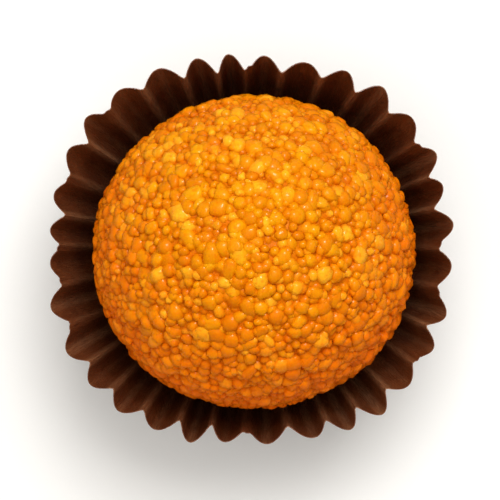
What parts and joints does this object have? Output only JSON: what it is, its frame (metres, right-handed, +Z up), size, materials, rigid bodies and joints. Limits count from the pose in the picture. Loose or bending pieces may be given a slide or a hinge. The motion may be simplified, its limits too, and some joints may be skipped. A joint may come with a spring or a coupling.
{
  "type": "laddu in a paper case",
  "caption": "Round hand-rolled laddu of pressed orange gram-flour pearls, sitting in a brown fluted paper case.",
  "frame": {"origin": "middle of the paper case's flat underside", "axes": "+Z up through the laddu; the rim of the case is widest along X"},
  "size_m": [0.0538, 0.0515, 0.0404],
  "materials": {
    "laddu": "matte and faintly moist, grainy",
    "paper_case": "dark brown greaseproof paper with a low sheen"
  },
  "bodies": {
    "root": {"laddu": "laddu", "paper_case": "paper_case"}
  },
  "joints": []
}
